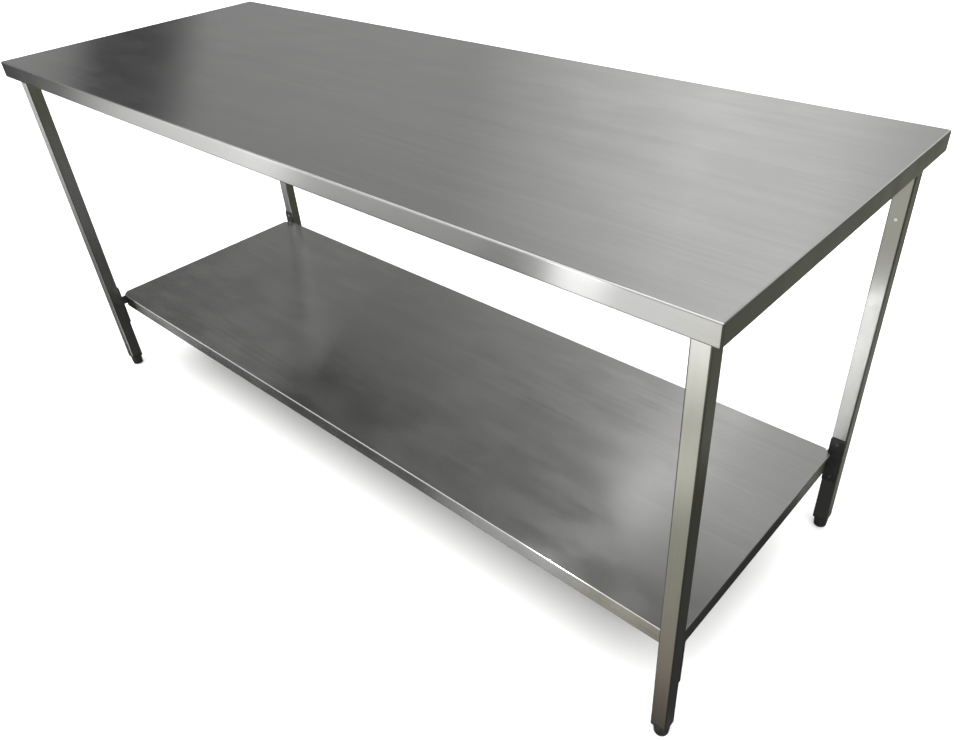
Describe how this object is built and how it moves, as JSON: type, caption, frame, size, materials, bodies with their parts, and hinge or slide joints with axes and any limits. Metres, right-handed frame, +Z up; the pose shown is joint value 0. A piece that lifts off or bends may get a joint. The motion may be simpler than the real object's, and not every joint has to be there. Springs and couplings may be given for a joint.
{
  "type": "stainless work table",
  "caption": "Long rectangular stainless work table with a folded top, square tube legs, a folded undershelf on corner brackets and black screw feet.",
  "frame": {"origin": "on the floor, under the middle of the top", "axes": "+X along the table's length to the right, +Y from front to rear, +Z up"},
  "size_m": [1.9, 0.7, 0.87],
  "materials": {
    "stainless_top": "long brushed grain, satin",
    "stainless_shelf": "long brushed grain, satin",
    "stainless_tube": "brushed along the tube, satin",
    "stainless_plain": "mill finish, dull",
    "stainless_screw": "polished",
    "zinc_steel": "bright zinc plated",
    "black_coated_steel": "satin black coating",
    "black_plastic": "moulded, fine matt texture"
  },
  "bodies": {
    "table": {"top_sheet": "stainless_top", "top_stiffener_front": "stainless_plain", "top_stiffener_rear": "stainless_plain", "mount_studs": "zinc_steel", "mount_nuts": "zinc_steel", "leg_top_screws": "stainless_screw", "spigot_nuts": "zinc_steel", "undershelf": "stainless_shelf", "shelf_stiffener": "stainless_plain", "bracket_screws": "stainless_screw", "leg_weld_nuts": "zinc_steel", "foot_nuts": "zinc_steel", "leg_mount_front_left": "black_coated_steel", "leg_mount_front_right": "black_coated_steel", "leg_mount_rear_left": "black_coated_steel", "leg_mount_rear_right": "black_coated_steel", "leg_front_left": "stainless_tube", "leg_front_right": "stainless_tube", "leg_rear_left": "stainless_tube", "leg_rear_right": "stainless_tube", "shelf_bracket_front_left": "black_coated_steel", "shelf_bracket_front_right": "black_coated_steel", "shelf_bracket_rear_left": "black_coated_steel", "shelf_bracket_rear_right": "black_coated_steel", "leg_insert_front_left": "black_plastic", "leg_insert_front_right": "black_plastic", "leg_insert_rear_left": "black_plastic", "leg_insert_rear_right": "black_plastic"},
    "stem_front_left": {"foot_stem_front_left": "zinc_steel"},
    "foot_front_left": {"foot_front_left": "black_plastic"},
    "stem_front_right": {"foot_stem_front_right": "zinc_steel"},
    "foot_front_right": {"foot_front_right": "black_plastic"},
    "stem_rear_left": {"foot_stem_rear_left": "zinc_steel"},
    "foot_rear_left": {"foot_rear_left": "black_plastic"},
    "stem_rear_right": {"foot_stem_rear_right": "zinc_steel"},
    "foot_rear_right": {"foot_rear_right": "black_plastic"}
  },
  "joints": [
    {"name": "foot_height_front_left", "type": "slide", "parent": "table", "child": "stem_front_left", "axis": [0, 0, -1], "range_m": [0, 0.025]},
    {"name": "foot_turn_front_left", "type": "hinge", "parent": "stem_front_left", "child": "foot_front_left", "pos_m": [-0.915, -0.315, 0], "axis": [0, 0, -1], "range_deg": [0, 6001]},
    {"name": "foot_height_front_right", "type": "slide", "parent": "table", "child": "stem_front_right", "axis": [0, 0, -1], "range_m": [0, 0.025]},
    {"name": "foot_turn_front_right", "type": "hinge", "parent": "stem_front_right", "child": "foot_front_right", "pos_m": [0.915, -0.315, 0], "axis": [0, 0, -1], "range_deg": [0, 6001]},
    {"name": "foot_height_rear_left", "type": "slide", "parent": "table", "child": "stem_rear_left", "axis": [0, 0, -1], "range_m": [0, 0.025]},
    {"name": "foot_turn_rear_left", "type": "hinge", "parent": "stem_rear_left", "child": "foot_rear_left", "pos_m": [-0.915, 0.315, 0], "axis": [0, 0, -1], "range_deg": [0, 6001]},
    {"name": "foot_height_rear_right", "type": "slide", "parent": "table", "child": "stem_rear_right", "axis": [0, 0, -1], "range_m": [0, 0.025]},
    {"name": "foot_turn_rear_right", "type": "hinge", "parent": "stem_rear_right", "child": "foot_rear_right", "pos_m": [0.915, 0.315, 0], "axis": [0, 0, -1], "range_deg": [0, 6001]}
  ],
  "couplings": [
    {"joint": "foot_turn_front_left", "follows": "foot_height_front_left", "rad_per_m": 4188.8},
    {"joint": "foot_turn_front_right", "follows": "foot_height_front_right", "rad_per_m": 4188.8},
    {"joint": "foot_turn_rear_left", "follows": "foot_height_rear_left", "rad_per_m": 4188.8},
    {"joint": "foot_turn_rear_right", "follows": "foot_height_rear_right", "rad_per_m": 4188.8}
  ]
}
